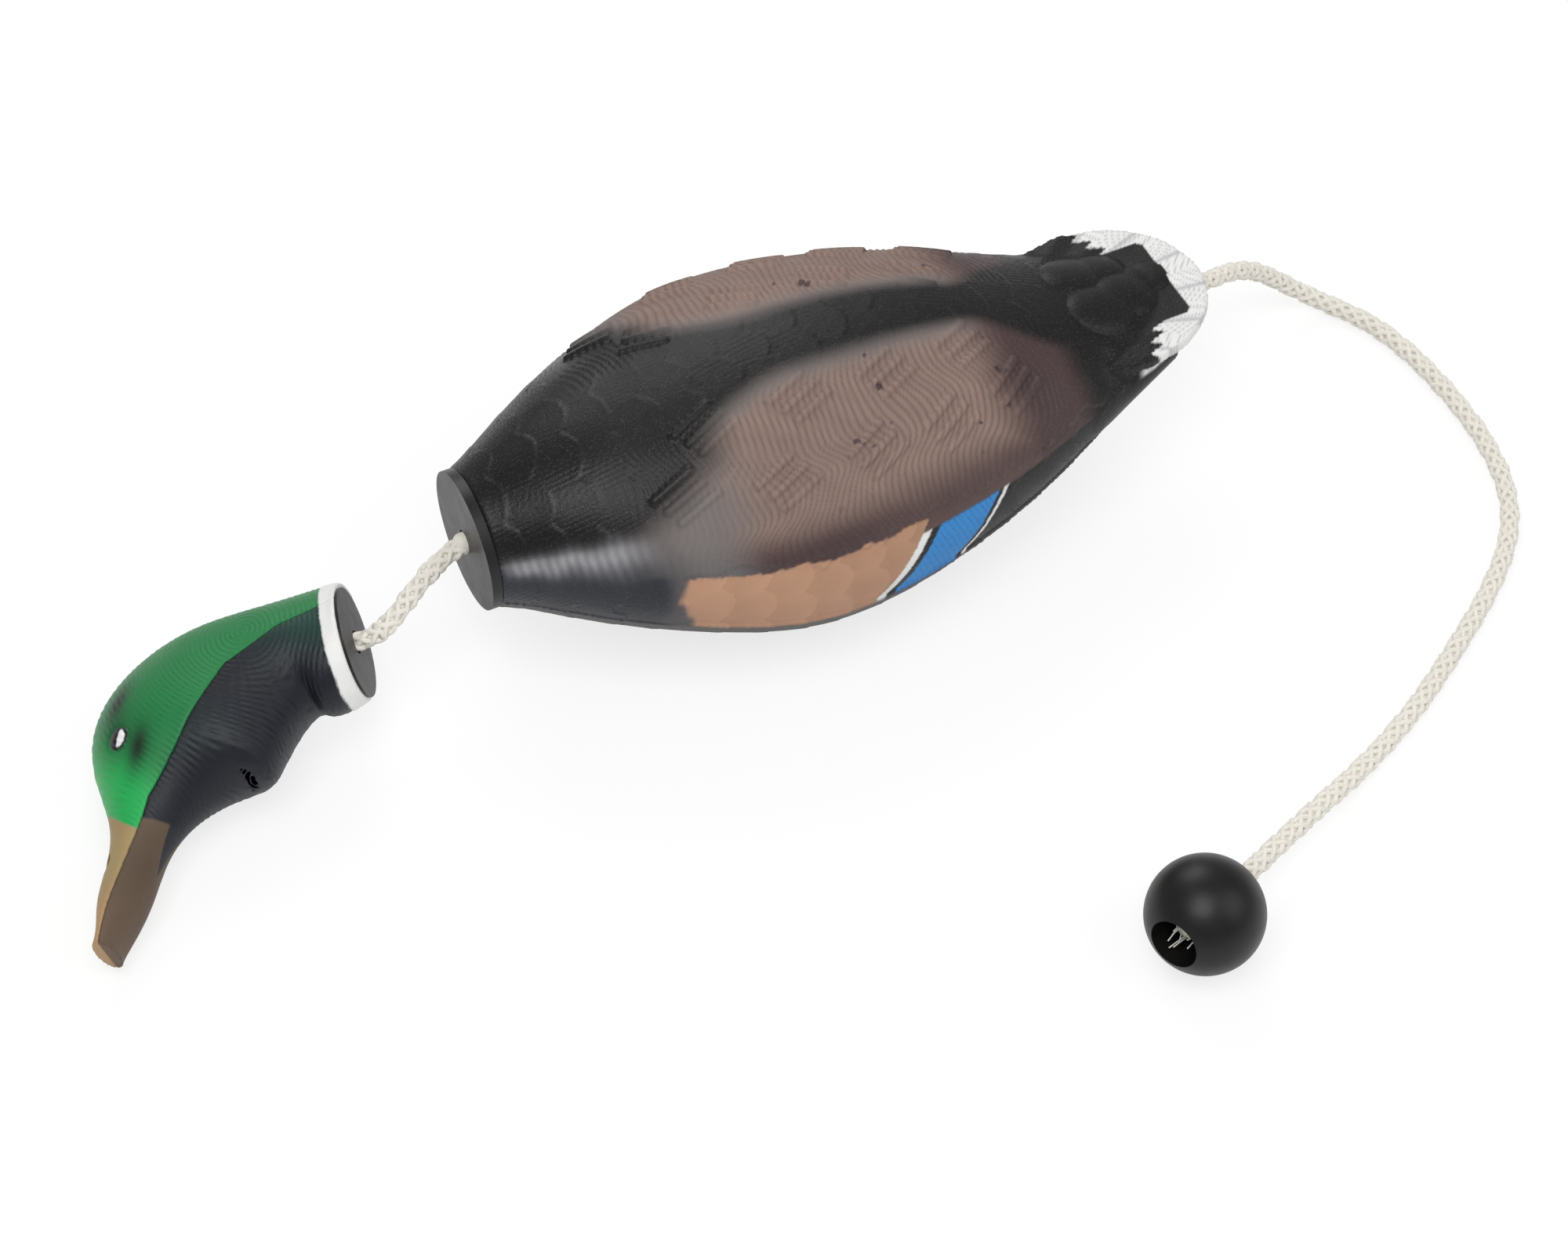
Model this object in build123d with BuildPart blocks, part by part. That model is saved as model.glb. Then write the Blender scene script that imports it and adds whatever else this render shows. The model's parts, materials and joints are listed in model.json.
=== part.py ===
"""Retriever training dummy shaped as a mallard drake: soft body, hard head on a rope, throwing ball.

Millimetres. +Z is up, the bird faces -X, and the origin is the middle of the flat on its belly.
"""

import os
from math import pi, radians, tan

from build123d import *

# driving dimensions
body_length = 318.0
axis_height = 64.0
disc_radius = 28.0
disc_thickness = 4.0
spigot_length = 14.0
spigot_radius = 11.0
rope_diameter = 7.5
rope_slack = 0.8
core_wall = 2.0
bush_length = 12.0
bush_flange = 2.5
ball_radius = 22.5
ball_mouth_radius = 9.8
ball_seat_depth = 21.0
neck_radius = 22.5
shell_wall = 3.2
plug_thickness = 5.0
plug_setback = 0.0
plug_flange_radius = 21.6
plug_flange = 1.5
washer_thickness = 2.0
washer_radius = 12.0
joint_gap = 0.35
rope_draw = 18.0
tail_length = 88.0
tail_width = 76.0
tail_thickness = 5.0
plug_clearance = 1.4
knot_radius = 8.0
knot_length = 11.0
ball_knot_length = 9.0
fit = 0.05

rope_radius = rope_diameter / 2
bore_radius = rope_radius + rope_slack
core_radius = bore_radius + core_wall
front_x = -body_length / 2
foam_front = front_x + disc_thickness

# body cross-sections: distance behind the nose, half width, half height, centre below the axis
body_sections = [
    (0, 28.0, 28.0, 0.0),
    (16, 36.9, 34.0, 0.0),
    (36, 49.4, 42.0, 1.0),
    (74, 68.7, 52.9, 3.0),
    (113, 79.6, 59.7, 5.5),
    (142, 79.0, 59.3, 6.5),
    (181, 71.8, 51.7, 6.0),
    (220, 59.0, 38.5, 5.5),
    (258, 43.0, 23.0, 3.5),
    (290, 30.0, 12.5, 0.5),
]

# head cross-sections in the head's own side view: forward, up, half depth, half width
head_sections = [
    (-59.0, -58.5, 22.5, 22.3),
    (-50.5, -40.0, 24.0, 22.3),
    (-37.0, -24.0, 31.5, 24.0),
    (-18.0, -12.0, 38.5, 26.0),
    (0.0, -4.0, 34.5, 24.5),
    (30.0, -4.0, 14.5, 14.0),
    (48.0, -6.5, 10.0, 12.0),
    (68.0, -8.0, 7.5, 12.5),
    (84.0, -9.5, 5.0, 9.5),
]
hollow_sections = 5
parting_line = [(-76, -80), (-66, -56), (-50, -38), (-30, -24), (2, -17), (24, -9), (44, -8), (68, -8.5), (95, -10)]

# the head lies on its right cheek
head_origin = Vector(-291.6, -18.6, 23.6)
head_forward = Vector(-0.6462, -0.7513, -0.1340)
head_up = Vector(-0.7204, 0.6585, -0.2179)
head_left = Vector(-0.2519, 0.0443, 0.9667)

# the free rope's route behind the tail, and the ball at its end
tail_route = [
    (136, 0, axis_height),
    (150, 0.6, 63.4),
    (168, 6, 57),
    (188, 16, 46),
    (206, 24, 31),
    (222, 25, 15),
    (236, 19, 5),
    (250, -1, 3.8),
    (256, -26, 3.8),
    (258, -54, 3.8),
    (257, -80, 3.8),
    (251, -106, 3.8),
    (239, -127, 3.8),
    (218, -147, 3.8),
    (188, -168, 3.8),
    (155, -189, 3.8),
    (121, -205, 3.8),
]
ball_axis = Vector(-0.896, -0.420, 0.147).normalized()
ball_centre = Vector(27.0, -248.6, ball_radius)
ball_lead = 66.0


def head_point(forward, up, left=0.0):
    return head_origin + head_forward * forward + head_up * up + head_left * left


def save(piece, name):
    piece.part.label = name
    export_step(piece.part, f"parts/{name}.step")


def head_loft(shrink, first, last):
    """The lofted head, or its hollow when shrink is more than zero."""
    with BuildPart() as solid:
        for i in range(first, last):
            forward, up, depth, width = head_sections[i]
            before = head_sections[max(i - 1, 0)]
            after = head_sections[min(i + 1, len(head_sections) - 1)]
            along = head_forward * (after[0] - before[0]) + head_up * (after[1] - before[1])
            with BuildSketch(Plane(head_point(forward, up), x_dir=head_left, z_dir=along)):
                Ellipse(width - shrink, depth - shrink)
        loft()
    return solid


os.makedirs("parts", exist_ok=True)

# soft body with its tail fan, a bore for the core tube and a flat on the belly
with BuildPart() as body_foam:
    for station, half_width, half_height, drop in body_sections:
        x = foam_front + station
        centre = (x, 0, axis_height - drop)
        with BuildSketch(Plane(centre, x_dir=(0, 1, 0), z_dir=(1, 0, 0))):
            Ellipse(half_width, half_height)
    loft()
    with BuildSketch(Plane.XY.offset(axis_height + core_radius + fit)):
        with Locations((body_length / 2 - tail_length / 2, 0)):
            Ellipse(tail_length / 2, tail_width / 2)
    extrude(amount=tail_thickness)
    with BuildSketch(Plane.XY):
        Rectangle(2 * body_length, 2 * body_length)
    extrude(amount=-axis_height, mode=Mode.SUBTRACT)
    with BuildSketch(Plane((foam_front, 0, axis_height), z_dir=(1, 0, 0))):
        Circle(spigot_radius + fit)
    extrude(amount=spigot_length, mode=Mode.SUBTRACT)
    with BuildSketch(Plane((foam_front, 0, axis_height), z_dir=(1, 0, 0))):
        Circle(core_radius + fit)
    extrude(amount=2 * body_length, mode=Mode.SUBTRACT)
save(body_foam, "body_foam")
foam_rear = foam_front + body_sections[-1][0]

# hard disc at the neck end, with a spigot into the foam
with BuildPart() as front_disc:
    with BuildSketch(Plane((front_x, 0, axis_height), z_dir=(1, 0, 0))):
        Circle(disc_radius)
    extrude(amount=disc_thickness)
    with BuildSketch(Plane((foam_front, 0, axis_height), z_dir=(1, 0, 0))):
        Circle(spigot_radius)
    extrude(amount=spigot_length)
    with BuildSketch(Plane((front_x, 0, axis_height), z_dir=(1, 0, 0))):
        Circle(bore_radius)
    extrude(amount=2 * spigot_length, mode=Mode.SUBTRACT)
save(front_disc, "front_disc")

# tube that guides the rope through the body
tube_start = foam_front + spigot_length
tube_end = foam_rear - bush_length + bush_flange
with BuildPart() as core_tube:
    with BuildSketch(Plane((tube_start, 0, axis_height), z_dir=(1, 0, 0))):
        Circle(core_radius)
        Circle(bore_radius, mode=Mode.SUBTRACT)
    extrude(amount=tube_end - tube_start)
save(core_tube, "core_tube")

with BuildPart() as tail_bush:
    with BuildSketch(Plane((tube_end, 0, axis_height), z_dir=(1, 0, 0))):
        Circle(core_radius)
        Circle(bore_radius, mode=Mode.SUBTRACT)
    extrude(amount=bush_length)
save(tail_bush, "tail_bush")
bush_end = tube_end + bush_length

# rope that runs through the core and draws out at the neck
pivot_a = Vector(front_x - 1.0, 0, axis_height)
with BuildPart() as rope_inner:
    with BuildSketch(Plane(pivot_a, z_dir=(1, 0, 0))):
        Circle(rope_radius)
    extrude(amount=bush_end - pivot_a.X - 2.0)
    with Locations(pivot_a):
        Sphere(rope_radius)
save(rope_inner, "rope_inner")

# head shells, split along the parting line
side = Plane(head_point(0, 0, -60), x_dir=head_forward, z_dir=head_left)
side_up = 1 if side.y_dir.dot(head_up) > 0 else -1
shell_outline = [(f, side_up * u) for f, u in parting_line + [(95, 90), (-140, 90), (-140, -80)]]
with BuildPart() as head_upper_shell:
    add(head_loft(0, 0, len(head_sections)).part)
    add(head_loft(shell_wall, 0, hollow_sections).part, mode=Mode.SUBTRACT)
    with BuildSketch(side):
        with BuildLine():
            Polyline(shell_outline, close=True)
        make_face()
    extrude(amount=120, mode=Mode.INTERSECT)
save(head_upper_shell, "head_upper_shell")

with BuildPart() as head_lower_shell:
    add(head_loft(0, 0, len(head_sections)).part)
    add(head_loft(shell_wall, 0, hollow_sections).part, mode=Mode.SUBTRACT)
    with BuildSketch(side):
        with BuildLine():
            Polyline(shell_outline, close=True)
        make_face()
    extrude(amount=120, mode=Mode.SUBTRACT)
save(head_lower_shell, "head_lower_shell")

# plug that closes the neck, its stopper washer and the knot behind it
first_up, second_up = head_sections[0], head_sections[1]
inward = (head_forward * (second_up[0] - first_up[0]) + head_up * (second_up[1] - first_up[1])).normalized()
neck_end = head_point(first_up[0], first_up[1])
with BuildPart() as neck_plug:
    with BuildSketch(Plane(neck_end + inward * plug_setback, z_dir=inward)):
        Circle(neck_radius - shell_wall - plug_clearance)
    extrude(amount=plug_thickness)
    with BuildSketch(Plane(neck_end, z_dir=-inward)):
        Circle(plug_flange_radius)
    extrude(amount=plug_flange)
    with BuildSketch(Plane(neck_end - inward * plug_flange, z_dir=inward)):
        Circle(bore_radius)
    extrude(amount=2 * plug_thickness, mode=Mode.SUBTRACT)
save(neck_plug, "neck_plug")
washer_start = plug_setback + plug_thickness
with BuildPart() as stopper_washer:
    with BuildSketch(Plane(neck_end + inward * washer_start, z_dir=inward)):
        Circle(washer_radius)
        Circle(rope_radius + fit, mode=Mode.SUBTRACT)
    extrude(amount=washer_thickness)
save(stopper_washer, "stopper_washer")
knot_base = neck_end + inward * (washer_start + washer_thickness + joint_gap)
with BuildPart() as head_knot:
    with BuildSketch(Plane(knot_base, z_dir=inward)):
        Circle(knot_radius)
    extrude(amount=knot_length)
    fillet(head_knot.edges(), 3)
save(head_knot, "head_knot")

# link rope in three spans between the body and the head
pivot_b = Vector(front_x - 17, -2.0, axis_height - 8)
pivot_c = neck_end - inward * 12
knees = [pivot_a, pivot_b, pivot_c, knot_base]
for i, name in enumerate(("rope_link_front", "rope_link_middle", "rope_link_head")):
    start, end = knees[i], knees[i + 1]
    way = (end - start).normalized()
    trim = rope_radius + joint_gap
    first = start + way * trim
    with BuildPart() as span:
        with BuildSketch(Plane(first, z_dir=way)):
            Circle(rope_radius)
        extrude(amount=(end - first).length)
        if i < 2:
            with Locations(end):
                Sphere(rope_radius)
    save(span, name)

# ball: a through bore for the rope and a wide seat that hides its knot
ball_plane = Plane(ball_centre, z_dir=ball_axis)
with BuildPart() as ball:
    with Locations(ball_centre):
        Sphere(ball_radius)
    with BuildSketch(ball_plane.offset(ball_radius - ball_seat_depth)):
        Circle(ball_mouth_radius)
    extrude(amount=ball_radius, mode=Mode.SUBTRACT)
    with BuildSketch(ball_plane.offset(-ball_radius)):
        Circle(bore_radius)
    extrude(amount=2 * ball_radius, mode=Mode.SUBTRACT)
save(ball, "ball")
seat = ball_radius - ball_seat_depth
with BuildPart() as ball_knot:
    with BuildSketch(ball_plane.offset(seat + joint_gap)):
        Circle(ball_mouth_radius - 1.6)
    extrude(amount=ball_knot_length)
    fillet(ball_knot.edges(), 3)
save(ball_knot, "ball_knot")

# free rope behind the tail: straight runs joined by tangent arcs, ending in the ball's knot
knot_face = ball_centre + ball_axis * (seat + joint_gap)
rope_points = [Vector(*p) for p in tail_route]
rope_points += [ball_centre - ball_axis * ball_lead, knot_face]
radii = []
for before, here, after in zip(rope_points, rope_points[1:], rope_points[2:]):
    run_in, run_out = here - before, after - here
    turn = radians(run_in.get_angle(run_out))
    radii.append(0.45 * min(run_in.length, run_out.length) / tan(turn / 2))
print("rope radii", [round(r, 1) for r in radii])
with BuildPart() as rope_tail:
    with BuildLine() as route:
        FilletPolyline(*rope_points, radius=radii)
    with BuildSketch(Plane(route.line @ 0, z_dir=route.line % 0)):
        Circle(rope_radius)
    sweep()
save(rope_tail, "rope_tail")
rope_length = sum(edge.length for edge in route.line.edges())
print("rope length", rope_length, "share of ideal volume",
      rope_tail.part.volume / (rope_length * pi * rope_radius**2))
print("pivots", pivot_a, pivot_b, pivot_c, "neck", neck_end, inward)
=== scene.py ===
"""Looks of a drake training dummy: painted foam body, hard head, braided rope and throwing ball."""

import json
import math

import bpy
import numpy as np
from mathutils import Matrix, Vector


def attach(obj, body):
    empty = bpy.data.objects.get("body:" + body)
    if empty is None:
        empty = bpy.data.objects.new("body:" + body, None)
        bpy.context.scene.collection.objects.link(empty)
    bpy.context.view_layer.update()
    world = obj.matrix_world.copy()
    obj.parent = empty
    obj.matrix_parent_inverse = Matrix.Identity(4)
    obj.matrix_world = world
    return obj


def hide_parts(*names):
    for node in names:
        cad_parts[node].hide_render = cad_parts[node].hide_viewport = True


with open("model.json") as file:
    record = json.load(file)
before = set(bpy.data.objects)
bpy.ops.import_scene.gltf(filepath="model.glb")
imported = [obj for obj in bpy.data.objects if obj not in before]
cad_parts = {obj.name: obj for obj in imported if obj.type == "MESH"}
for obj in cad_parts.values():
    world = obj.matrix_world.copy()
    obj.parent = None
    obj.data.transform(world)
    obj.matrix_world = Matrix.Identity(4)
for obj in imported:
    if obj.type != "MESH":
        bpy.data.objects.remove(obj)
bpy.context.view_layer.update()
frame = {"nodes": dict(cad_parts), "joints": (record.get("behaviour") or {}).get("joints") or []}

bl_info = {
    "name": "Drake Training Dummy",
    "version": (1, 0, 0),
    "blender": (4, 5, 0),
    "location": "View3D > Sidebar > Dummy",
    "description": "Builds the finish of a drake training dummy around its frame",
    "category": "Object",
}

# the head's own axes, as it lies on its cheek
HEAD_ORIGIN = Vector((-0.2916, -0.0186, 0.0236))
HEAD_FORWARD = Vector((-0.6462, -0.7513, -0.1340))
HEAD_UP = Vector((-0.7204, 0.6585, -0.2179))
HEAD_LEFT = Vector((-0.2519, 0.0443, 0.9667))

# the free rope's route, from the tail bush to the ball
AXIS_HEIGHT = 0.064
BALL_CENTRE = Vector((0.027, -0.2486, 0.0225))
BALL_AXIS = Vector((-0.896, -0.420, 0.147)).normalized()
TAIL_ROUTE = [
    (0.136, 0.0, AXIS_HEIGHT),
    (0.150, 0.0006, 0.0634),
    (0.168, 0.006, 0.057),
    (0.188, 0.016, 0.046),
    (0.206, 0.024, 0.031),
    (0.222, 0.025, 0.015),
    (0.236, 0.019, 0.005),
    (0.250, -0.001, 0.0038),
    (0.256, -0.026, 0.0038),
    (0.258, -0.054, 0.0038),
    (0.257, -0.080, 0.0038),
    (0.251, -0.106, 0.0038),
    (0.239, -0.127, 0.0038),
    (0.218, -0.147, 0.0038),
    (0.188, -0.168, 0.0038),
    (0.155, -0.189, 0.0038),
    (0.121, -0.205, 0.0038),
]
BALL_LEAD = 0.066
STRANDS = 8
FRAY_COUNT = 16
FRAY_SPREAD = 0.002
KNOT_FACE = 0.00185

# stage
CAMERA_TARGET = Vector((-0.043, -0.039, 0.0))
FLOOR_REACH = 6
FLOOR_HEIGHT = -0.0002
WORLD_STRENGTH = 0.42


class DummySizes(bpy.types.PropertyGroup):
    """Sizes that a user would change."""

    rope_diameter: bpy.props.FloatProperty(
        name="Rope diameter", description="Outside of the braid", default=0.0075, unit="LENGTH"
    )
    body_grain: bpy.props.FloatProperty(
        name="Body grain", description="Edge of one mesh cell on the body", default=0.0009, unit="LENGTH"
    )
    head_grain: bpy.props.FloatProperty(
        name="Head grain", description="Edge of one mesh cell on the head", default=0.0006, unit="LENGTH"
    )
    camera_turn: bpy.props.FloatProperty(
        name="Camera turn", description="Camera azimuth", default=math.radians(-25.5), subtype="ANGLE"
    )
    camera_lift: bpy.props.FloatProperty(
        name="Camera lift", description="Camera elevation", default=math.radians(50), subtype="ANGLE"
    )
    camera_distance: bpy.props.FloatProperty(
        name="Camera distance", description="Distance from the target", default=1.5, unit="LENGTH"
    )
    camera_lens: bpy.props.FloatProperty(
        name="Camera lens", description="Focal length in millimetres", default=87.0
    )


class DummyColours(bpy.types.PropertyGroup):
    """Paint colours, linear."""

    black: bpy.props.FloatVectorProperty(
        name="Black", description="Back and breast", default=(0.005, 0.005, 0.0055), subtype="COLOR"
    )
    navy: bpy.props.FloatVectorProperty(
        name="Navy", description="Lower breast", default=(0.008, 0.010, 0.018), subtype="COLOR"
    )
    taupe: bpy.props.FloatVectorProperty(
        name="Taupe", description="Sides", default=(0.262, 0.180, 0.150), subtype="COLOR"
    )
    silver: bpy.props.FloatVectorProperty(
        name="Silver", description="Sprayed edge of the sides", default=(0.16, 0.155, 0.155), subtype="COLOR"
    )
    plum: bpy.props.FloatVectorProperty(
        name="Plum", description="Shade along the wing", default=(0.042, 0.022, 0.026), subtype="COLOR"
    )
    tan: bpy.props.FloatVectorProperty(
        name="Tan", description="Flank", default=(0.46, 0.26, 0.165), subtype="COLOR"
    )
    blue: bpy.props.FloatVectorProperty(
        name="Blue", description="Wing bar", default=(0.035, 0.24, 0.60), subtype="COLOR"
    )
    white: bpy.props.FloatVectorProperty(
        name="White", description="Tail and bars", default=(0.78, 0.78, 0.77), subtype="COLOR"
    )
    green: bpy.props.FloatVectorProperty(
        name="Green", description="Crown of the head", default=(0.012, 0.185, 0.052), subtype="COLOR"
    )
    bright_green: bpy.props.FloatVectorProperty(
        name="Bright green", description="Face", default=(0.016, 0.42, 0.095), subtype="COLOR"
    )
    bill: bpy.props.FloatVectorProperty(
        name="Bill", description="Upper bill", default=(0.42, 0.27, 0.14), subtype="COLOR"
    )
    lower_bill: bpy.props.FloatVectorProperty(
        name="Lower bill", description="Lower bill", default=(0.12, 0.078, 0.05), subtype="COLOR"
    )
    rope: bpy.props.FloatVectorProperty(
        name="Rope", description="Braided rope", default=(0.80, 0.77, 0.70), subtype="COLOR"
    )


class Value:
    """A shader socket that takes Python arithmetic."""

    def __init__(self, tree, socket):
        self.tree = tree
        self.socket = socket

    def math(self, operation, *others):
        inputs = {0: self, **dict(enumerate(others, 1))}
        return self.tree.node("ShaderNodeMath", {"operation": operation}, inputs)

    def __add__(self, other):
        return self.math("ADD", other)

    def __mul__(self, other):
        return self.math("MULTIPLY", other)

    def __sub__(self, other):
        return self.math("SUBTRACT", other)

    def __rsub__(self, other):
        return self.math("MULTIPLY", -1.0).math("ADD", other)

    __radd__ = __add__
    __rmul__ = __mul__


class Finish:
    """One procedural material."""

    def __init__(self, name, **constants):
        self.material = bpy.data.materials.new(name)
        self.material.use_nodes = True
        self.links = self.material.node_tree.links
        self.nodes = self.material.node_tree.nodes
        self.shader = self.nodes["Principled BSDF"]
        for socket, value in constants.items():
            self.shader.inputs[socket.replace("_", " ")].default_value = value

    def feed(self, socket, value):
        if isinstance(value, Value):
            self.links.new(value.socket, socket)
        elif hasattr(value, "__len__") and len(value) == 3 and socket.type == "RGBA":
            socket.default_value = (*value, 1)
        else:
            socket.default_value = value

    def node(self, kind, settings=None, inputs=None, output=0):
        node = self.nodes.new(kind)
        for key, value in (settings or {}).items():
            setattr(node, key, value)
        for key, value in (inputs or {}).items():
            self.feed(node.inputs[key], value)
        return Value(self, node.outputs[output])

    def place(self):
        return self.node("ShaderNodeTexCoord", output="Object")

    def noise(self, scale, detail=3.0, rough=0.6):
        inputs = {"Vector": self.place(), "Scale": scale, "Detail": detail, "Roughness": rough}
        return self.node("ShaderNodeTexNoise", {}, inputs)

    def mix(self, mask, first, second):
        settings = {"data_type": "RGBA"}
        return self.node("ShaderNodeMix", settings, {0: mask, 6: first, 7: second}, output=2)

    def painted(self, name):
        return self.node("ShaderNodeAttribute", {"attribute_name": name}, output="Color")

    def factor(self, name):
        return self.node("ShaderNodeAttribute", {"attribute_name": name}, output="Fac")

    def bump(self, height, distance, strength=1.0):
        inputs = {"Height": height, "Distance": distance, "Strength": strength}
        self.feed(self.shader.inputs["Normal"], self.node("ShaderNodeBump", {}, inputs))

    def set(self, socket, value):
        self.feed(self.shader.inputs[socket], value)


def painted_finish(name, speckle, grain, **constants):
    """Sprayed paint over moulded plastic or foam: colour and gloss from the surface's own attributes."""
    finish = Finish(name, **constants)
    specks = finish.noise(1400.0, 2.0)
    patches = finish.noise(60.0, 4.0)
    darker = finish.mix(0.5, finish.painted("paint"), (0, 0, 0))
    shade = finish.mix(patches * 0.35, finish.painted("paint"), darker)
    dust = specks.math("GREATER_THAN", 0.62) * speckle
    finish.set("Base Color", finish.mix(dust, shade, DUST_COLOUR))
    finish.set("Roughness", finish.factor("gloss") + (patches - 0.5) * 0.12)
    finish.bump(finish.noise(grain, 3.0), 0.00012)
    return finish.material


def plastic_finish(name, colour, roughness):
    finish = Finish(name, Specular_IOR_Level=0.3)
    cloud = finish.noise(140.0, 4.0)
    lighter = tuple(min(1.0, c * 1.8 + 0.004) for c in colour)
    finish.set("Base Color", finish.mix(cloud * 0.5, colour, lighter))
    finish.set("Roughness", cloud * 0.18 + (roughness - 0.09))
    finish.bump(finish.noise(1800.0, 2.0), 0.00004)
    return finish.material


def rope_finish(colour):
    finish = Finish("braided_rope", Specular_IOR_Level=0.3)
    fibre = finish.noise(900.0, 3.0)
    dirt = finish.noise(35.0, 3.0)
    darker = tuple(c * 0.72 for c in colour)
    finish.set("Base Color", finish.mix(fibre * 0.45 + dirt * 0.25, colour, darker))
    finish.set("Roughness", fibre * 0.2 + 0.62)
    finish.bump(fibre, 0.00025)
    return finish.material


def give(piece, material):
    piece.data.materials.clear()
    piece.data.materials.append(material)


def add_mesh(name, vertices, faces, smooth=True):
    mesh = bpy.data.meshes.new(name)
    mesh.from_pydata([tuple(v) for v in vertices], [], faces)
    mesh.validate()
    piece = bpy.data.objects.new(name, mesh)
    bpy.context.scene.collection.objects.link(piece)
    if smooth:
        mesh.polygons.foreach_set("use_smooth", [True] * len(mesh.polygons))
    return piece


def skin_of(node, name, grain, rounds):
    """A fine, even mesh of a CAD node's surface, ready for relief."""
    piece = bpy.data.objects.new(name, frame["nodes"][node].data.copy())
    bpy.context.scene.collection.objects.link(piece)
    piece.data.materials.clear()
    remesh = piece.modifiers.new("even", "REMESH")
    remesh.mode = "VOXEL"
    remesh.voxel_size = grain
    remesh.use_smooth_shade = True
    smooth = piece.modifiers.new("smooth", "SMOOTH")
    smooth.factor = 0.5
    smooth.iterations = rounds
    ready = bpy.data.meshes.new_from_object(piece.evaluated_get(bpy.context.evaluated_depsgraph_get()))
    piece.modifiers.clear()
    piece.data = ready
    ready.polygons.foreach_set("use_smooth", [True] * len(ready.polygons))
    return piece


def points_of(piece):
    count = len(piece.data.vertices)
    points = np.empty(count * 3)
    normals = np.empty(count * 3)
    piece.data.vertices.foreach_get("co", points)
    piece.data.vertices.foreach_get("normal", normals)
    return points.reshape(-1, 3), normals.reshape(-1, 3)


def move_out(piece, points, normals, height):
    piece.data.vertices.foreach_set("co", (points + normals * height[:, None]).ravel())
    piece.data.update()


def paint(piece, colour, gloss):
    count = len(piece.data.vertices)
    rgba = np.ones((count, 4))
    rgba[:, :3] = colour
    layer = piece.data.attributes.new("paint", "FLOAT_COLOR", "POINT")
    layer.data.foreach_set("color", rgba.ravel())
    layer = piece.data.attributes.new("gloss", "FLOAT", "POINT")
    layer.data.foreach_set("value", gloss)


def ramp(value, low, high):
    """0 below low, 1 above high, smooth between."""
    t = np.clip((value - low) / (high - low), 0, 1)
    return t * t * (3 - 2 * t)


def blend(base, colour, mask):
    return base * (1 - mask[:, None]) + np.array(colour)[None, :] * mask[:, None]


def wander(points, scale, seed):
    """Smooth wavering noise from a few sines."""
    rng = np.random.default_rng(seed)
    total = np.zeros(len(points))
    for octave in range(4):
        way = rng.normal(size=3)
        way /= np.linalg.norm(way)
        total += np.sin(points @ way * scale * (1.6**octave) + rng.uniform(0, 6.28)) / (octave + 1)
    return total / 2


def scallops(along, across, length, width):
    """Overlapping rounded feathers: height rises to each feather's edge, with fine barbs."""
    row = np.floor(along / length)
    shift = across / width + 0.5 * (row % 2)
    cell = shift - np.floor(shift) - 0.5
    down = along / length - row
    edge = down + 1.3 * cell * cell
    inside = edge - np.floor(edge)
    return inside, cell


# relief of the body, metres
GROOVE_PITCH = 0.0029
GROOVE_DEPTH = 0.00055
FEATHER_LENGTH = 0.016
FEATHER_WIDTH = 0.020
FEATHER_RISE = 0.00024
BARB_RISE = 0.00010
WING_STEP = 0.0011
SEAM_RISE = 0.0005
SEAM_TURN = 105
TAIL_BARB_PITCH = 0.0026
TAIL_BLADE_DEGREES = 13.0
RIDGE_PITCH = 0.0036

# coverts ahead of the tail: distance along the body, distance across and radius
COVERTS = [(0.108, 0.012, 0.013), (0.110, -0.010, 0.014), (0.124, -0.004, 0.013), (0.121, 0.013, 0.011),
           (0.137, 0.003, 0.010)]
COVERT_RISE = 0.20

# bar groups on each side: distance along the body and turn from the spine in degrees
BAR_GROUPS = [(-0.070, 27), (-0.032, 28), (0.005, 29), (0.041, 26), (0.055, 52), (0.022, 54), (-0.011, 53),
              (-0.049, 53), (-0.086, 48)]
BAR_LENGTH = 0.021
BAR_PITCH = 0.0062
BAR_WIDTH = 0.0042
BAR_RISE = 0.0013
BAR_LEAN = math.radians(-24)
BODY_MIDDLE = 0.059

# paint, painted highlights and painted shade, linear
DUST_COLOUR = (0.25, 0.24, 0.23)
# painted highlight: the light grey of the sheen along the glossy black breast
BREAST_SHEEN_COLOUR = (0.42, 0.42, 0.44)
BARB_COLOUR = (0.25, 0.26, 0.27)
# painted shade: near-black green round the eyes
EYE_SHADE_COLOUR = (0.006, 0.016, 0.010)
# painted shade in the grooves of the head's striations
STRIATION_SHADE_COLOUR = (0.004, 0.05, 0.02)
OLIVE_BILL_COLOUR = (0.33, 0.29, 0.11)
DARK_GREEN_COLOUR = (0.010, 0.060, 0.042)
CHIN_COLOUR = (0.012, 0.014, 0.02)
PUPIL_COLOUR = (0.004, 0.004, 0.004)
# white of the eye, which also stands in for the highlight on the glossy eye
EYE_WHITE_AND_GLINT_COLOUR = (0.85, 0.85, 0.85)
NOSTRIL_COLOUR = (0.006, 0.005, 0.004)

# eye and nostril on the head's own axes, millimetres: forward, up, half length, half height
EYE = (5, 8.5, 4.4, 4.2)
NOSTRIL = (51, 0.5, 3.2, 1.5)
EYE_RISE = 0.0007
EYE_GROOVE = 0.0005
NOSTRIL_DEPTH = 0.0008
HAIR_RISE = 0.00016
RING_RISE = 0.0004


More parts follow.
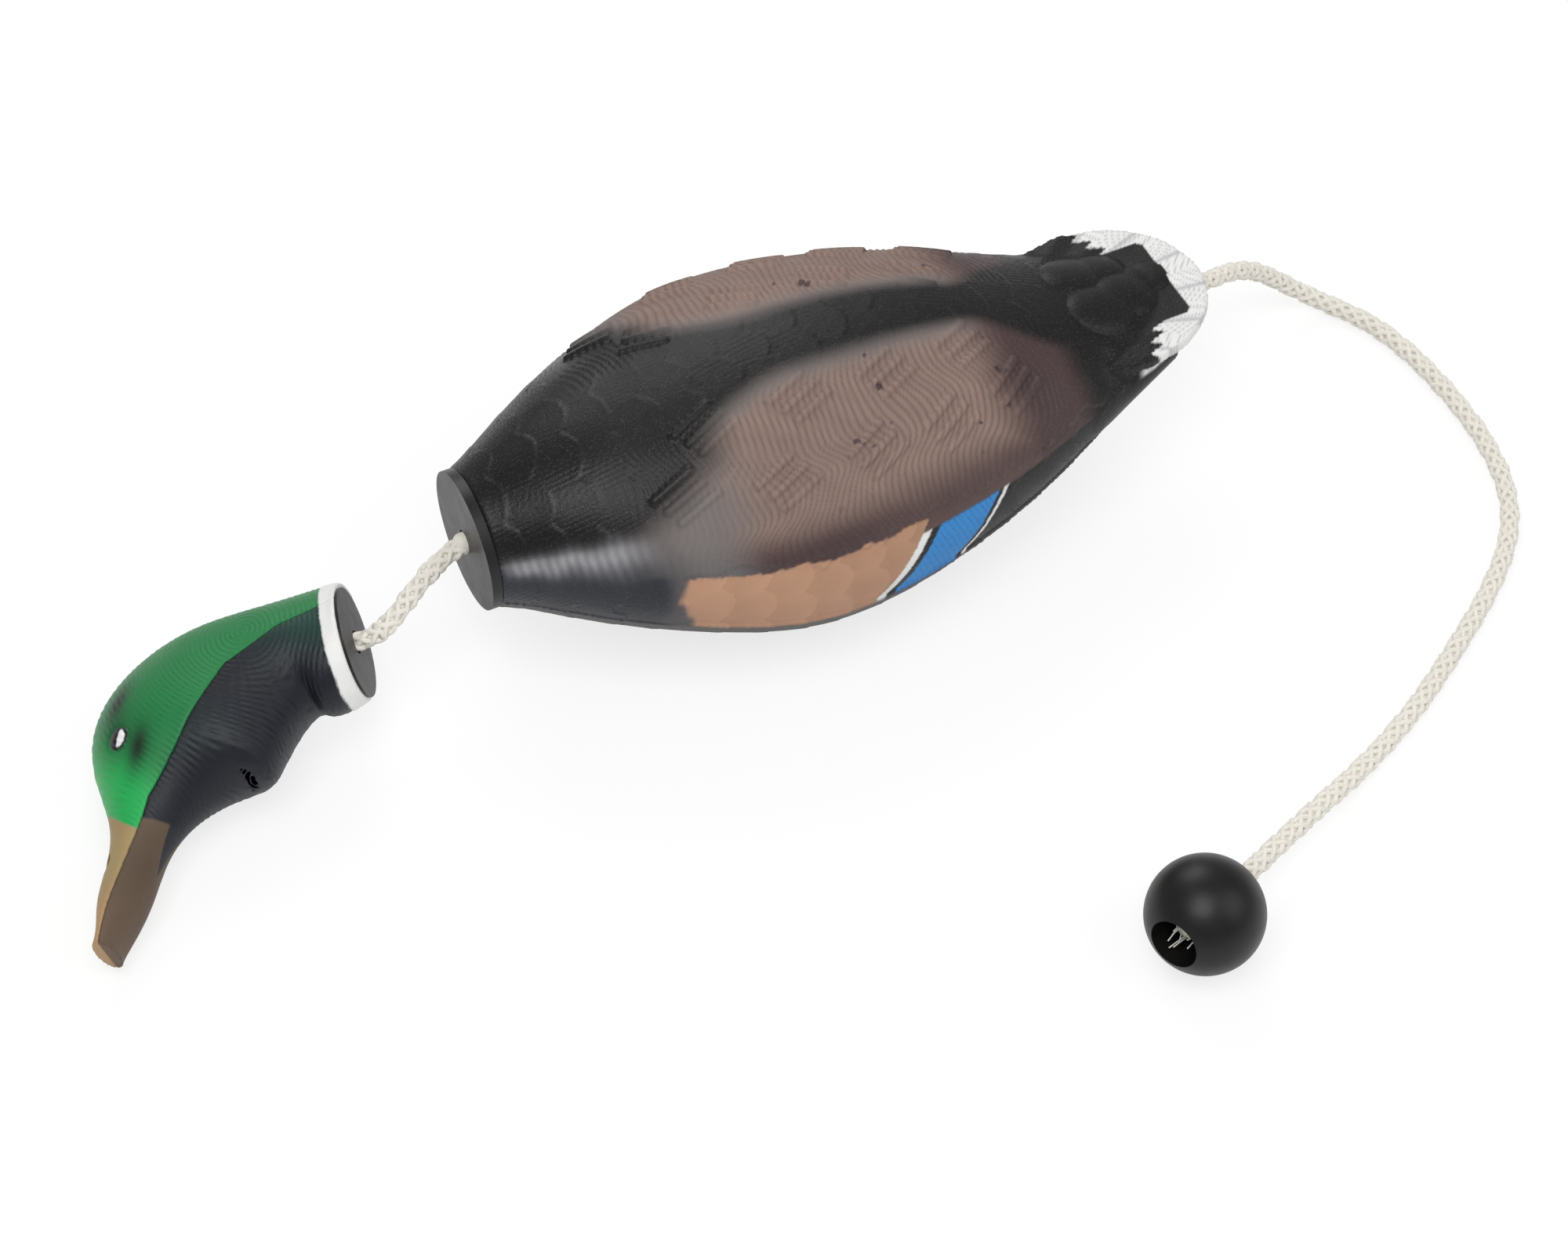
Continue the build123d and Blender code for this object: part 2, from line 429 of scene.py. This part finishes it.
def body_relief_and_paint(piece, colours):
    """Moulded feathers, bars, grooves and the sprayed plumage of the body, with a painted highlight along the
    black breast.
    """
    points, normals = points_of(piece)
    x, y, z = points.T
    turn = np.degrees(np.arctan2(np.abs(y), z - BODY_MIDDLE))
    radius = np.hypot(y, z - BODY_MIDDLE)
    arc = np.radians(turn) * radius
    n1 = wander(points, 60, 3)
    n2 = wander(points, 190, 4)
    n3 = wander(points, 520, 5)
    edge = turn + 3.0 * n2 + 1.5 * n3

    fan = ramp(x, 0.098, 0.106) * ramp(z, 0.0690, 0.0704)
    fan = np.maximum(fan, ramp(np.abs(y), 0.029, 0.031) * ramp(x, 0.090, 0.1))
    belly = ramp(turn, 104.5, 105.5)
    front = 1 - ramp(x + 0.02 * n1, -0.112, -0.088)

    # grooves run down the sides in waves
    phase = x + 0.0045 * np.sin(arc * 80 + 2.6 * n1) + 0.10 * arc + 0.0008 * n2
    groove = 0.5 + 0.5 * np.sin(2 * np.pi * phase / GROOVE_PITCH)
    side = ramp(edge, 14, 24) * (1 - ramp(turn, 78, 82))
    side *= ramp(x, -0.115, -0.085) * (1 - ramp(x, 0.06, 0.085))
    height = -GROOVE_DEPTH * side * groove**1.5

    # large rounded feathers over back, breast and flank
    across = arc * np.sign(y) + 0.003 * n1
    inside, cell = scallops(x + 0.004 * n1, across, FEATHER_LENGTH, FEATHER_WIDTH)
    feather = (1 - side) * (1 - fan)
    height += feather * (FEATHER_RISE * inside**3 + BARB_RISE * np.sin(cell * 70 + inside * 8))

    # the bars
    bars = np.zeros(len(points))
    for gx, gt in BAR_GROUPS:
        dx = x - gx
        dy = arc - math.radians(gt) * np.clip(radius, 0.03, None)
        along = dx * math.cos(BAR_LEAN) + dy * math.sin(BAR_LEAN)
        across = -dx * math.sin(BAR_LEAN) + dy * math.cos(BAR_LEAN)
        for k in (-1, 0, 1):
            end = ramp(BAR_LENGTH / 2 - np.abs(along - k * 0.001), 0, 0.0010)
            rise = end * ramp(BAR_WIDTH / 2 - np.abs(across - k * BAR_PITCH), 0, 0.0014)
            bars = np.maximum(bars, rise)
    height = np.where(bars > 0, height * (1 - bars) + BAR_RISE * bars, height)

    # wing edge step above the flank and the seam round the waterline
    wing = ramp(edge, 77, 79) * ramp(x, -0.100, -0.092) * (1 - ramp(x, 0.085, 0.100))
    height -= WING_STEP * wing * (1 - belly)
    height += SEAM_RISE * np.exp(-(((turn - SEAM_TURN) / 0.8) ** 2)) * (1 - fan)

    # curled coverts ahead of the tail
    coverts = ramp(x, 0.092, 0.112) * (1 - ramp(x, 0.140, 0.150)) * (1 - ramp(np.abs(y), 0.018, 0.026))
    coverts *= ramp(z, 0.066, 0.070)
    lobes = np.zeros(len(points))
    for cx, cy, size in COVERTS:
        away = np.hypot(x - cx, (y - cy) * 1.15) / size
        lobes = np.maximum(lobes, np.clip(1 - away**2, 0, 1) ** 0.5 * size * COVERT_RISE)
    height += np.where((z > 0.070) & (x > 0.09), lobes, 0)
    coverts = np.maximum(coverts, ramp(lobes, 0.0004, 0.0012) * (z > 0.066))

    # tail feathers: blades with barbs
    bearing = np.degrees(np.arctan2(y, x - 0.070))
    blade = bearing / TAIL_BLADE_DEGREES
    blade_cell = blade - np.floor(blade) - 0.5
    barb = np.sin((x + np.abs(blade_cell) * 0.022) * 2 * np.pi / TAIL_BARB_PITCH)
    tail = ramp(x, 0.095, 0.105) * ramp(z, 0.066, 0.068)
    tail *= 1 - coverts
    height += tail * (0.0005 * np.abs(blade_cell) * 2 + 0.00022 * barb)
    move_out(piece, points, normals, height)

    # sprayed paint, from the sides outwards, and a painted highlight along the black breast
    colour = np.tile(np.array(colours.taupe), (len(points), 1))
    colour *= (0.97 + 0.08 * n1 + 0.05 * n3)[:, None]
    colour = blend(colour, colours.plum, side * (1 - groove) ** 3 * 0.45)
    shade = ramp(turn + 4 * n1, 62, 77) * (1 - 0.15 * ramp(x, -0.04, 0.0))
    rear_shade = ramp(x + 0.010 * n1, 0.038, 0.064)
    colour = blend(colour, colours.plum, np.maximum(shade, rear_shade) * 0.9)
    back_edge = 14 + 24 * (1 - ramp(x, -0.110, -0.030)) + 30 * ramp(x, 0.050, 0.090)
    back = 1 - ramp(turn + 2.5 * n1, back_edge - 5, back_edge + 7)
    silver = 1 - ramp(turn + 2.5 * n1, back_edge, back_edge + 12)
    silver = np.maximum(silver, 1 - ramp(x + 0.01 * n1, -0.085, -0.062))
    colour = blend(colour, colours.silver, silver * 0.75 * (1 - rear_shade))
    colour = blend(colour, colours.black, back)
    front_edge = -0.100 + 0.028 * (1 - ramp(turn, 35, 62))
    sheen_turn = 66 + 3 * n2
    front_black = 1 - ramp(x + 0.006 * n1, front_edge - 0.012, front_edge + 0.012)
    colour = blend(colour, colours.black, front_black * (1 - ramp(turn, 58, 64)))
    # painted highlight: a light grey band of sheen along the glossy black breast, striped by the ridge pattern
    painted_sheen = np.exp(-(((turn - sheen_turn) / 6.5) ** 2)) * (1 - ramp(x, -0.120, -0.095))
    below = ramp(turn, 70, 77) * (1 - ramp(x + 0.004 * n1, -0.104, -0.094))
    colour = blend(colour, colours.navy, np.maximum(front_black * ramp(turn, 58, 64), below) * 0.96)
    ridges = 0.5 + 0.5 * np.sin(2 * np.pi * (x + 0.003 * n1) / RIDGE_PITCH)
    painted_sheen *= (0.50 + 0.22 * ridges + 0.12 * n3) * ramp(x, -0.156, -0.148)
    colour = blend(colour, BREAST_SHEEN_COLOUR, painted_sheen)

    flank_top = 78.5 + 1.2 * n3 + 6.0 * (x + 0.05)
    flank = ramp(turn, flank_top - 0.35, flank_top + 0.35)
    flank *= ramp(x + 0.0018 * n3 - 0.00033 * np.abs(turn - 88), -0.0985, -0.0955)
    slant = x + (turn - 85) * 0.0009
    flank *= 1 - ramp(slant, -0.0035, -0.0030)
    tan_depth = 0.90 + 0.14 * inside - 0.12 * n1
    tan_colour = np.array(colours.tan)[None, :] * tan_depth[:, None]
    colour = colour * (1 - flank[:, None]) + tan_colour * flank[:, None]
    lower = ramp(turn, 82.5, 83.5) * (1 - belly)
    bar_shape = ramp(slant, -0.0035, -0.0030)
    colour = blend(colour, colours.black, lower * bar_shape)
    colour = blend(colour, colours.white, lower * bar_shape * (1 - ramp(slant, 0.0008, 0.0014)))
    blue = ramp(slant, 0.0048, 0.0054) * (1 - ramp(slant, 0.0335, 0.0342))
    colour = blend(colour, colours.blue, lower * blue)
    lines = ramp(np.sin(2 * np.pi * (x - arc * 0.5) / 0.0030), 0.7, 1)
    colour = blend(colour, colours.black, lower * blue * lines * 0.35)
    white_end = ramp(slant, 0.0362, 0.0367) * (1 - ramp(slant, 0.0385, 0.0390))
    colour = blend(colour, colours.white, lower * white_end)

    chips = ramp(n3 + n2 * 0.7, 1.18, 1.24) * side * (1 - ramp(turn, 66, 70)) * ramp(x, -0.04, -0.02)
    colour = blend(colour, colours.plum, chips * 0.85)
    colour = blend(colour, np.array(colours.silver) * 0.75, belly)
    rear_black = ramp(x + 0.004 * n1, 0.078, 0.092)
    colour = blend(colour, colours.black, rear_black * (1 - belly))
    jag = 0.1385 + 0.0025 * np.sin(y * 1100) - 0.60 * np.clip(np.abs(y) - 0.006, 0, 1)
    white = (tail > 0.5) * ramp(x - jag, 0, 0.0008) * ramp(x, 0.1, 0.102)
    under = ramp(x, 0.112, 0.116) * (1 - ramp(z, 0.0712, 0.0716)) * ramp(z, 0.066, 0.068)
    white = np.maximum(white, under)
    rachis = np.exp(-((blade_cell / 0.05) ** 2))
    colour = blend(colour, colours.white, white)
    colour = blend(colour, BARB_COLOUR, white * np.maximum(rachis * 0.6, ramp(barb, 0.55, 1.0) * 0.5))

    dark = 1 - ramp(colour.mean(axis=1), 0.02, 0.10)
    gloss = 0.62 - 0.20 * dark - 0.12 * dark * front
    paint(piece, np.clip(colour, 0, 1), gloss)


def head_relief_and_paint(piece, colours, upper):
    """Hair-fine feathering, eye, nostril and the sprayed face, with painted shade in the striations and round
    the eyes and a painted highlight in the eyes.
    """
    points, normals = points_of(piece)
    away = points - np.array(HEAD_ORIGIN)
    forward = away @ np.array(HEAD_FORWARD) * 1000
    up = away @ np.array(HEAD_UP) * 1000
    left = away @ np.array(HEAD_LEFT) * 1000
    n1 = wander(points, 60, 7)
    n2 = wander(points, 200, 8)
    n3 = wander(points, 600, 9)
    down_neck = 0.42 * (forward + 59) + 0.89 * (up + 58.5)
    ring = 1 - ramp(down_neck + 0.35 * n3, 5.4, 6.0)
    slope = 0.35 if upper else -0.14
    bill = ramp(forward + slope * (up - 2) + 0.5 * n3 - 0.12 * np.abs(left), 32.0, 33.0)

    # striations flow from the bill over the head and down the neck
    swirl = np.arctan2(up + 25, forward + 45)
    across = np.hypot(forward + 45, up + 25)
    hair = np.sin(across * 3.3 + 2.0 * n2 + 0.06 * np.abs(left) * n1 + np.abs(left) * 1.1)
    hair *= 0.6 + 0.4 * np.sin(swirl * 40 + 3 * n1)
    height = HAIR_RISE * hair * (1 - bill) * (1 - ring)
    height += RING_RISE * ring

    # eyes and nostrils on both sides
    side_left = np.abs(left)
    eye = np.hypot((forward - EYE[0]) / EYE[2], (up - EYE[1]) / EYE[3])
    on_eye = (1 - ramp(eye, 0.95, 1.05)) * ramp(side_left, 12, 14) * (1.0 if upper else 0.0)
    height += EYE_RISE * np.clip(1 - eye**2, 0, 1) * ramp(side_left, 12, 14)
    height -= EYE_GROOVE * np.exp(-(((eye - 1.15) / 0.15) ** 2)) * ramp(side_left, 12, 14)
    nostril = np.hypot((forward - NOSTRIL[0]) / NOSTRIL[2], (up - NOSTRIL[1]) / NOSTRIL[3])
    on_nostril = (1 - ramp(nostril, 0.9, 1.1)) * ramp(side_left, 3, 4) * (1.0 if upper else 0.0)
    height -= NOSTRIL_DEPTH * on_nostril
    move_out(piece, points, normals, height)

    if upper:
        face = ramp(forward + 0.4 * up, 4, 26)
        colour = np.tile(np.array(colours.green), (len(points), 1))
        colour = blend(colour, colours.bright_green, np.clip(face * 0.9 + 0.12 * n1, 0, 1))
        # painted shade: dark green patches round each eye, on both cheeks
        painted_eye_shade = np.exp(-(((forward + 11) / 9) ** 2 + ((up - 15) / 4.5) ** 2)) + np.exp(
            -(((forward - 8) / 8) ** 2 + ((up + 1.5) / 4.0) ** 2))
        painted_eye_shade += 0.45 * np.exp(-(((forward - 3) / 10) ** 2 + ((up - 10) / 7) ** 2))
        colour = blend(colour, EYE_SHADE_COLOUR, np.clip(painted_eye_shade, 0, 1) * 0.95 * ramp(side_left, 6, 14))
        # painted shade: darker green laid into the grooves of the striations
        colour = blend(colour, STRIATION_SHADE_COLOUR, ramp(-0.5 * hair, 0.2, 0.8) * 0.35)
        bill_colour = np.array(colours.bill)[None, :] * (0.9 + 0.14 * n1)[:, None]
        olive = np.exp(-(((forward - 50) / 16) ** 2)) * 0.45
        bill_colour = blend(bill_colour, OLIVE_BILL_COLOUR, olive)
    else:
        colour = np.tile(np.array(colours.navy) * 0.75, (len(points), 1))
        green_edge = np.clip(np.exp(-(((forward + 55) / 12) ** 2)) * 0.6 + 0.18 + 0.22 * n1, 0, 1)
        green_edge *= ramp(side_left, 15, 22)
        colour = blend(colour, DARK_GREEN_COLOUR, green_edge)
        bill_colour = np.array(colours.lower_bill)[None, :] * (0.9 + 0.14 * n1)[:, None]
        wedge = (1 - ramp(side_left - (50 - forward) * 0.28, -0.4, 0.4)) * (1 - ramp(forward, 49, 50))
        bill_colour = blend(bill_colour, CHIN_COLOUR, wedge)
    colour = colour * (1 - bill[:, None]) + bill_colour * bill[:, None]
    colour = blend(colour, colours.white, ring)
    # white half-disc in each eye: partly white paint, partly a painted highlight of the glossy eye
    white_and_glint_half = ramp(EYE[1] - up, 0.0, 0.5)
    colour = blend(colour, PUPIL_COLOUR, on_eye)
    colour = blend(colour, EYE_WHITE_AND_GLINT_COLOUR, on_eye * white_and_glint_half * (1 - ramp(eye, 0.72, 0.8)))
    colour = blend(colour, NOSTRIL_COLOUR, on_nostril)
    gloss = 0.42 + 0.03 * n1 + 0.1 * bill
    gloss = np.where(on_eye > 0.5, 0.12, gloss)
    paint(piece, np.clip(colour, 0, 1), gloss)


def smooth_path(points, steps):
    """Evenly read points along the smooth spline that a cord follows."""
    curve = bpy.data.curves.new("path", "CURVE")
    curve.dimensions = "3D"
    curve.resolution_u = steps
    spline = curve.splines.new("NURBS")
    spline.points.add(len(points) - 1)
    for spot, point in zip(spline.points, points):
        spot.co = (*point, 1)
    spline.order_u = 3
    spline.use_endpoint_u = True
    holder = bpy.data.objects.new("path", curve)
    bpy.context.scene.collection.objects.link(holder)
    mesh = bpy.data.meshes.new_from_object(holder.evaluated_get(bpy.context.evaluated_depsgraph_get()))
    line = np.array([tuple(v.co) for v in mesh.vertices])
    bpy.data.objects.remove(holder)
    return line


def resample(line, step):
    lengths = np.concatenate([[0], np.cumsum(np.linalg.norm(np.diff(line, axis=0), axis=1))])
    spots = np.linspace(0, lengths[-1], max(4, int(lengths[-1] / step)))
    return np.stack([np.interp(spots, lengths, line[:, k]) for k in range(3)], axis=1)


def frames_along(line):
    ahead = np.gradient(line, axis=0)
    ahead /= np.linalg.norm(ahead, axis=1)[:, None]
    side = np.zeros_like(line)
    start = np.cross(ahead[0], (0.02, 0.1, 1.0))
    side[0] = start / np.linalg.norm(start)
    for i in range(1, len(line)):
        here = side[i - 1] - ahead[i] * (side[i - 1] @ ahead[i])
        side[i] = here / np.linalg.norm(here)
    return ahead, side, np.cross(ahead, side)


def tube(line, radius, corners):
    """Rings of a closed tube along a line."""
    ahead, side, other = frames_along(line)
    vertices = []
    for i in range(len(line)):
        for k in range(corners):
            a = 2 * math.pi * k / corners
            vertices.append(line[i] + side[i] * math.cos(a) * radius + other[i] * math.sin(a) * radius)
    faces = []
    for i in range(len(line) - 1):
        near, far = i * corners, (i + 1) * corners
        for k in range(corners):
            beside = (k + 1) % corners
            faces.append((near + k, near + beside, far + beside, far + k))
    faces.append(tuple(reversed(range(corners))))
    last = (len(line) - 1) * corners
    faces.append(tuple(range(last, last + corners)))
    return vertices, faces


def braid(name, route, diameter):
    """A hollow braid of round yarns over a core, along a smooth route."""
    core_line = resample(smooth_path(route, 24), 0.0011)
    ahead, side, other = frames_along(core_line)
    walked = np.concatenate([[0], np.cumsum(np.linalg.norm(np.diff(core_line, axis=0), axis=1))])
    yarn = diameter * 0.155
    vertices, faces = tube(core_line, diameter * 0.5 - yarn * 1.25, 10)
    pitch = diameter * 3.3
    turns = 2 * np.pi * walked / pitch
    for k in range(STRANDS):
        hand = 1 if k % 2 else -1
        angle = hand * turns + 2 * np.pi * (k // 2) / (STRANDS / 2) + 0.4 * (k % 2)
        weave = yarn * 0.30 * np.sin(STRANDS / 2 * turns + (k % 2) * np.pi + (k // 2) * np.pi)
        ring = (diameter * 0.5 - yarn * 0.92 + weave)[:, None]
        strand = core_line + (side * np.cos(angle)[:, None] + other * np.sin(angle)[:, None]) * ring
        more, sides = tube(strand, yarn, 6)
        offset = len(vertices)
        vertices += more
        faces += [tuple(v + offset for v in face) for face in sides]
    return add_mesh(name, vertices, faces), core_line


class DUMMY_OT_stage(bpy.types.Operator):
    """Camera, floor and soft studio light"""

    bl_idname = "dummy.stage"
    bl_label = "Stage"

    def execute(self, context):
        sizes = context.scene.dummy_sizes
        turn, lift = sizes.camera_turn, sizes.camera_lift
        back = Vector((math.sin(turn) * math.cos(lift), -math.cos(turn) * math.cos(lift), math.sin(lift)))
        data = bpy.data.cameras.new("camera")
        data.lens = sizes.camera_lens
        camera = bpy.data.objects.new("camera", data)
        camera.location = CAMERA_TARGET + back * sizes.camera_distance
        camera.rotation_euler = back.to_track_quat("Z", "Y").to_euler()
        context.scene.collection.objects.link(camera)
        context.scene.camera = camera

        corners = [(-FLOOR_REACH, -FLOOR_REACH), (FLOOR_REACH, -FLOOR_REACH), (FLOOR_REACH, FLOOR_REACH),
                   (-FLOOR_REACH, FLOOR_REACH)]
        floor = add_mesh("floor", [(*corner, FLOOR_HEIGHT) for corner in corners], [(0, 1, 2, 3)], smooth=False)
        material = bpy.data.materials.new("floor_paper")
        material.use_nodes = True
        nodes, links = material.node_tree.nodes, material.node_tree.links
        shader = nodes["Principled BSDF"]
        shader.inputs["Base Color"].default_value = (0.93, 0.93, 0.93, 1)
        shader.inputs["Roughness"].default_value = 0.9
        glow = nodes.new("ShaderNodeEmission")
        glow.inputs["Strength"].default_value = 1.0
        seen = nodes.new("ShaderNodeLightPath")
        share = nodes.new("ShaderNodeMath")
        share.operation = "MULTIPLY"
        share.inputs[1].default_value = 0.75
        links.new(seen.outputs["Is Camera Ray"], share.inputs[0])
        mix = nodes.new("ShaderNodeMixShader")
        links.new(share.outputs[0], mix.inputs[0])
        links.new(shader.outputs[0], mix.inputs[1])
        links.new(glow.outputs[0], mix.inputs[2])
        links.new(mix.outputs[0], nodes["Material Output"].inputs["Surface"])
        floor.data.materials.append(material)

        for name, place, size, power in (
            ("key", (-0.5, -0.6, 1.5), 1.0, 16),
            ("fill", (1.0, -1.0, 1.2), 1.2, 8),
            ("rim", (0.2, 1.2, 1.1), 1.0, 9),
        ):
            lamp = bpy.data.lights.new(name, "AREA")
            lamp.size = size
            lamp.energy = power
            holder = bpy.data.objects.new(name, lamp)
            holder.location = place
            holder.rotation_euler = Vector(place).to_track_quat("Z", "Y").to_euler()
            context.scene.collection.objects.link(holder)
        world = bpy.data.worlds.new("studio")
        context.scene.world = world
        world.use_nodes = True
        world.node_tree.nodes["Background"].inputs["Color"].default_value = (1, 1, 1, 1)
        world.node_tree.nodes["Background"].inputs["Strength"].default_value = WORLD_STRENGTH
        context.scene.view_settings.view_transform = "Standard"
        return {"FINISHED"}


class DUMMY_OT_ropes(bpy.types.Operator):
    """The free tail rope and the link rope, braided"""

    bl_idname = "dummy.ropes"
    bl_label = "Ropes"

    def execute(self, context):
        diameter = context.scene.dummy_sizes.rope_diameter
        finish = rope_finish(context.scene.dummy_colours.rope)
        route = [Vector(p) for p in TAIL_ROUTE]
        route += [BALL_CENTRE - BALL_AXIS * BALL_LEAD, BALL_CENTRE + BALL_AXIS * KNOT_FACE]
        rope, line = braid("tail_rope", route, diameter)
        give(rope, finish)
        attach(rope, "body")
        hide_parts("rope_tail")
        knot = ball_knot_piece(finish)
        joints = {j["name"]: Vector(j["pos_m"]) for j in frame["joints"] if "pos_m" in j}
        start = joints["rope_yaw"]
        inward = Vector(next(j["axis"] for j in frame["joints"] if j["name"] == "head_twist"))
        end = joints["head_twist"] + inward * 0.012
        spans = (
            ("link_rope_front", "link_front", "rope_link_front"),
            ("link_rope_middle", "link_middle", "rope_link_middle"),
            ("link_rope_head", "link_head", "rope_link_head"),
        )
        whole = smooth_path([start + Vector((0.010, 0, 0)), start, joints["rope_pitch"],
                             joints["head_swing"], joints["head_twist"], end], 24)
        cuts = [0]
        for name in ("rope_pitch", "head_swing"):
            cuts.append(int(np.argmin(np.linalg.norm(whole - np.array(joints[name]), axis=1))))
        cuts.append(len(whole) - 1)
        for i, (name, body, node) in enumerate(spans):
            part = whole[max(0, cuts[i] - 2):cuts[i + 1] + 3]
            piece, _ = braid(name, [Vector(p) for p in resample(part, 0.004)], diameter)
            give(piece, finish)
            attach(piece, body)
            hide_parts(node)
        for node in ("rope_inner", "head_knot"):
            give(frame["nodes"][node], finish)
        return {"FINISHED"}


def ball_knot_piece(finish):
    """A stopper knot with a frayed tip, in the mouth of the ball."""
    side = BALL_AXIS.cross(Vector((0, 0, 1))).normalized()
    other = BALL_AXIS.cross(side)
    base = BALL_CENTRE + BALL_AXIS * 0.0060
    line = []
    for i in range(121):
        a = 4 * math.pi * i / 120
        reach = 0.0044 + 0.0010 * math.cos(1.5 * a)
        line.append(base + side * math.cos(a) * reach + other * math.sin(a) * reach
                    + BALL_AXIS * 0.0018 * math.sin(1.5 * a))
    vertices, faces = tube(np.array([tuple(p) for p in line]), 0.0026, 10)
    rng = np.random.default_rng(12)
    for _ in range(FRAY_COUNT):
        a = rng.uniform(0, 6.28)
        root = base + side * math.cos(a) * 0.004 + other * math.sin(a) * 0.004 + BALL_AXIS * 0.003
        tip = root + BALL_AXIS * rng.uniform(0.003, 0.008)
        tip += side * rng.normal() * FRAY_SPREAD + other * rng.normal() * FRAY_SPREAD
        more, sides = tube(np.array([tuple(root.lerp(tip, t)) for t in (0, 0.33, 0.66, 1)]), 0.00028, 5)
        offset = len(vertices)
        vertices += more
        faces += [tuple(v + offset for v in face) for face in sides]
    knot = add_mesh("ball_stopper_knot", vertices, faces)
    give(knot, finish)
    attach(knot, "body")
    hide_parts("ball_knot")
    return knot


class DUMMY_OT_body(bpy.types.Operator):
    """Foam body with moulded and painted plumage"""

    bl_idname = "dummy.body"
    bl_label = "Body"

    def execute(self, context):
        body = skin_of("body_foam", "body_skin", context.scene.dummy_sizes.body_grain, 5)
        body_relief_and_paint(body, context.scene.dummy_colours)
        give(body, painted_finish("painted_foam", 0.10, 1500.0, Specular_IOR_Level=0.28))
        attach(body, "body")
        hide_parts("body_foam")
        return {"FINISHED"}


class DUMMY_OT_head(bpy.types.Operator):
    """Hard head shells with painted face"""

    bl_idname = "dummy.head"
    bl_label = "Head"

    def execute(self, context):
        sizes, colours = context.scene.dummy_sizes, context.scene.dummy_colours
        finish = painted_finish("painted_head", 0.0, 2200.0, Specular_IOR_Level=0.3)
        for node, slot, upper in (
            ("head_upper_shell", "head_green", True),
            ("head_lower_shell", "head_dark", False),
        ):
            shell = skin_of(node, node + "_skin", sizes.head_grain, 3)
            head_relief_and_paint(shell, colours, upper)
            give(shell, finish)
            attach(shell, "head")
            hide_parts(node)
        return {"FINISHED"}


class DUMMY_OT_plastics(bpy.types.Operator):
    """Finishes of the disc, plug, core parts and ball"""

    bl_idname = "dummy.plastics"
    bl_label = "Plastics"

    def execute(self, context):
        black = plastic_finish("satin_black_plastic", (0.007, 0.007, 0.008), 0.38)
        core = plastic_finish("core_plastic", (0.25, 0.25, 0.25), 0.5)
        ball = plastic_finish("ball_plastic", (0.003, 0.003, 0.003), 0.40)
        for node, finish in (
            ("front_disc", black),
            ("neck_plug", black),
            ("core_tube", core),
            ("tail_bush", core),
            ("stopper_washer", core),
            ("ball", ball),
        ):
            give(frame["nodes"][node], finish)
        return {"FINISHED"}


class DUMMY_PT_panel(bpy.types.Panel):
    """Lists the steps that build the dummy's finish"""

    bl_label = "Training Dummy"
    bl_idname = "DUMMY_PT_panel"
    bl_space_type = "VIEW_3D"
    bl_region_type = "UI"
    bl_category = "Dummy"

    def draw(self, context):
        for step in STEPS:
            self.layout.operator(step.bl_idname)


STEPS = (DUMMY_OT_stage, DUMMY_OT_ropes, DUMMY_OT_plastics, DUMMY_OT_body, DUMMY_OT_head)
CLASSES = (DummySizes, DummyColours, *STEPS, DUMMY_PT_panel)


def register():
    for item in CLASSES:
        bpy.utils.register_class(item)
    bpy.types.Scene.dummy_sizes = bpy.props.PointerProperty(type=DummySizes)
    bpy.types.Scene.dummy_colours = bpy.props.PointerProperty(type=DummyColours)


def unregister():
    del bpy.types.Scene.dummy_colours
    del bpy.types.Scene.dummy_sizes
    for item in reversed(CLASSES):
        bpy.utils.unregister_class(item)


def main():
    register()
    bpy.ops.dummy.stage()
    bpy.ops.dummy.ropes()
    bpy.ops.dummy.plastics()
    bpy.ops.dummy.body()
    bpy.ops.dummy.head()


if __name__ == "__main__":
    main()
